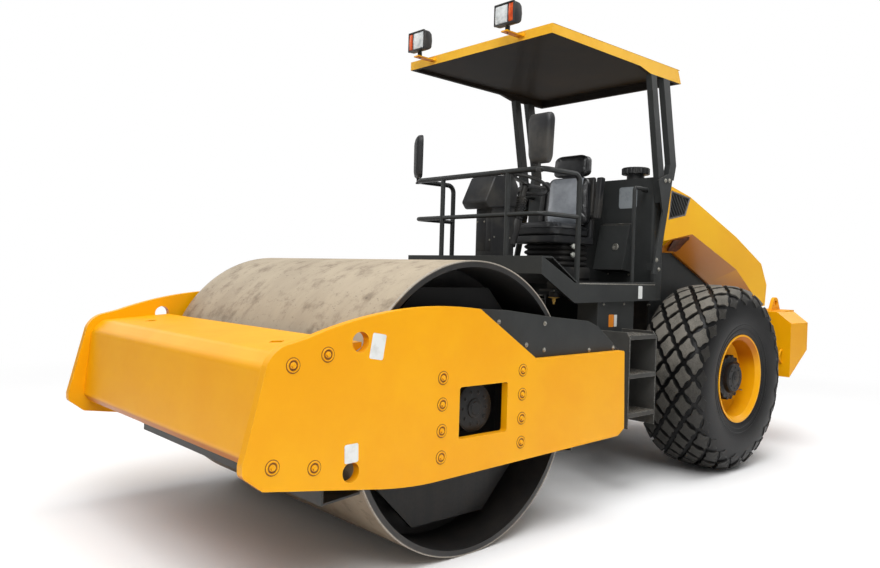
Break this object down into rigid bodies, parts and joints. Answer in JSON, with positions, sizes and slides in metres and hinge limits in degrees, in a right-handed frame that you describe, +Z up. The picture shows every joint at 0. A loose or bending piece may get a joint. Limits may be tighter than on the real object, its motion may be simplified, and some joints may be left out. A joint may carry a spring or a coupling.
{
  "type": "single drum soil roller",
  "caption": "Single-drum vibratory soil roller with articulated frame, lug-tread tyres, open operator platform with canopy, sloping hood and counterweight.",
  "frame": {"origin": "on the ground, in the middle of the length and the width", "axes": "+X forward to the drum, +Y to the machine's left, +Z up"},
  "size_m": [6.056, 2.3, 3.3398],
  "materials": {
    "yellow_paint": "gloss, dusty",
    "hood_paint": "gloss",
    "roof_paint": "satin",
    "dark_paint": "satin",
    "drum_steel": "worn, dusty",
    "rubber": "matt",
    "chrome": "polished",
    "black_plastic": "matt",
    "seat_vinyl": "satin",
    "iron": "oily",
    "lamp_red": "gloss",
    "tyre": "matt, dusty"
  },
  "bodies": {
    "rear_frame": {"rear_chassis": "dark_paint", "platform": "dark_paint", "side_boxes": "dark_paint", "front_rail": "dark_paint", "grab_handles": "dark_paint", "mirrors": "black_plastic", "console": "dark_paint", "steering_wheel": "black_plastic", "seat_frame": "dark_paint", "seat_pads": "seat_vinyl", "tank": "dark_paint", "tank_cap": "black_plastic", "tool_box": "dark_paint", "ladders": "dark_paint", "bay_panels": "dark_paint", "canopy_frame": "dark_paint", "canopy_roof": "roof_paint", "work_lamps": "black_plastic", "engine_block": "iron", "rear_axle": "dark_paint", "counterweight": "yellow_paint", "rear_lamps": "lamp_red"},
    "knuckle": {"knuckle": "dark_paint"},
    "front_frame": {"side_plate_left": "yellow_paint", "side_plate_right": "yellow_paint", "front_beam": "yellow_paint", "rear_beam": "dark_paint", "covers": "dark_paint", "drum_mounts": "dark_paint", "scrapers": "dark_paint"},
    "drum": {"drum": "drum_steel", "drum_discs": "dark_paint", "buffers": "rubber"},
    "barrel_left": {"steer_barrel_left": "dark_paint"},
    "rod_left": {"steer_rod_left": "chrome"},
    "barrel_right": {"steer_barrel_right": "dark_paint"},
    "rod_right": {"steer_rod_right": "chrome"},
    "wheel_left": {"rim_left": "yellow_paint", "hub_left": "dark_paint", "tyre_left": "tyre"},
    "wheel_right": {"rim_right": "yellow_paint", "hub_right": "dark_paint", "tyre_right": "tyre"},
    "hood": {"hood": "hood_paint", "hood_grilles": "black_plastic"}
  },
  "joints": [
    {"name": "steer", "type": "hinge", "parent": "rear_frame", "child": "knuckle", "pos_m": [0.119, 0, 0.76], "axis": [0, 0, 1], "range_deg": [-35, 35]},
    {"name": "oscillate", "type": "hinge", "parent": "knuckle", "child": "front_frame", "pos_m": [0.419, 0, 0.76], "axis": [1, 0, 0], "range_deg": [-10, 10]},
    {"name": "drum_spin", "type": "hinge", "parent": "front_frame", "child": "drum", "pos_m": [1.612, 0, 0.8], "axis": [0, 1, 0], "continuous": true},
    {"name": "wheel_left_spin", "type": "hinge", "parent": "rear_frame", "child": "wheel_left", "pos_m": [-1.375, 0.85, 0.745], "axis": [0, 1, 0], "continuous": true},
    {"name": "wheel_right_spin", "type": "hinge", "parent": "rear_frame", "child": "wheel_right", "pos_m": [-1.375, -0.85, 0.745], "axis": [0, 1, 0], "continuous": true},
    {"name": "barrel_left_swing", "type": "hinge", "parent": "rear_frame", "child": "barrel_left", "pos_m": [-0.501, 0.3, 0.76], "axis": [0, 0, 1], "range_deg": [-1.75, 1.75]},
    {"name": "rod_left_slide", "type": "slide", "parent": "barrel_left", "child": "rod_left", "axis": [0.9983, -0.0587, 0], "range_m": [-0.156, 0.156]},
    {"name": "barrel_right_swing", "type": "hinge", "parent": "rear_frame", "child": "barrel_right", "pos_m": [-0.501, -0.3, 0.76], "axis": [0, 0, 1], "range_deg": [-1.75, 1.75]},
    {"name": "rod_right_slide", "type": "slide", "parent": "barrel_right", "child": "rod_right", "axis": [0.9983, 0.0587, 0], "range_m": [-0.156, 0.156]},
    {"name": "hood_lift", "type": "hinge", "parent": "rear_frame", "child": "hood", "pos_m": [-0.925, 0, 2.25], "axis": [0, 1, 0], "range_deg": [0, 50]}
  ],
  "couplings": [
    {"joint": "barrel_left_swing", "follows": "steer", "ratio": 0.0486},
    {"joint": "rod_left_slide", "follows": "steer", "m_per_rad": -0.2546},
    {"joint": "barrel_right_swing", "follows": "steer", "ratio": 0.0486},
    {"joint": "rod_right_slide", "follows": "steer", "m_per_rad": 0.2546}
  ]
}
